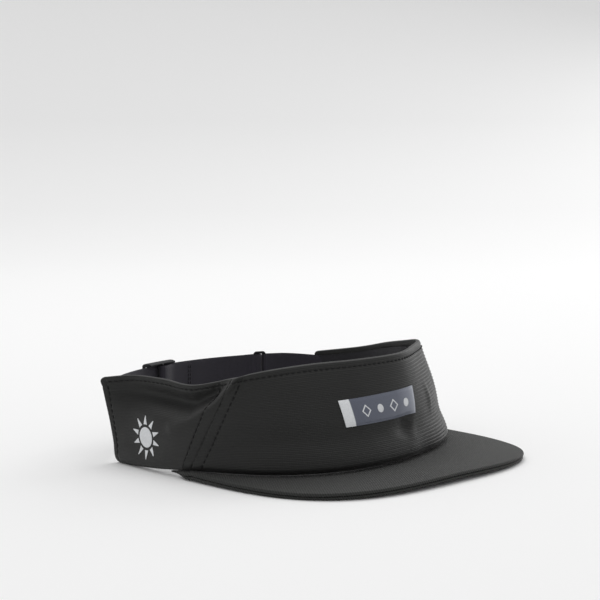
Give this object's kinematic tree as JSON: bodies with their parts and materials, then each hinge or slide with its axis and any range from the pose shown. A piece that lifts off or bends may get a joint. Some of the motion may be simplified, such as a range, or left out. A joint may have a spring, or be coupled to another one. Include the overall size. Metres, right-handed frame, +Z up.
{
  "type": "sun visor",
  "caption": "Soft open-top sun visor: curved fabric headband, flat stiffened brim and rear webbing with a sliding adjuster and ring.",
  "frame": {"origin": "middle of the overall box at the surface the visor stands on", "axes": "+Z up, the brim points to -Y, +X is the wearer's left, +Y is the back of the head"},
  "size_m": [0.176, 0.1888, 0.0566],
  "materials": {
    "shell_fabric": "fine horizontal rib, near-black with a faint green cast, slight sheen",
    "brim_fabric": "fine diagonal weave, matte",
    "lining_fabric": "matte knit",
    "sweatband_terry": "matte looped terry",
    "interlining": "matte non-woven",
    "strap_webbing": "dark plum woven elastic, matte",
    "brim_board": "pale foam-backed board",
    "hardware_plastic": "satin black moulded",
    "label_satin": "blue-grey satin with a soft shine and white ends",
    "print_white": "white heat-transfer film"
  },
  "bodies": {
    "band": {"front_panel": "shell_fabric", "side_panel_right": "shell_fabric", "side_panel_left": "shell_fabric", "front_lining": "lining_fabric", "side_lining_right": "lining_fabric", "side_lining_left": "lining_fabric", "front_interlining": "interlining", "seam_tape_right": "lining_fabric", "seam_tape_left": "lining_fabric", "sweatband": "sweatband_terry", "brim_top_cover": "brim_fabric", "brim_under_cover": "brim_fabric", "brim_board": "brim_board", "strap_webbing": "strap_webbing", "strap_tail": "strap_webbing", "ring_tab": "strap_webbing", "front_label": "label_satin", "side_print": "print_white"},
    "slider": {"slider": "hardware_plastic", "strap_loop": "strap_webbing"},
    "ring": {"ring": "hardware_plastic"}
  },
  "joints": [
    {"name": "slider_travel", "type": "hinge", "parent": "band", "child": "slider", "pos_m": [0.0022, -0.03613, 0.025], "axis": [0, 0, -1], "range_deg": [-13, 13], "deforming": ["strap_tail"]},
    {"name": "ring_swivel", "type": "hinge", "parent": "band", "child": "ring", "pos_m": [0.04467, 0.08504, 0.025], "axis": [0, 0, 1], "range_deg": [-7, 7]}
  ]
}
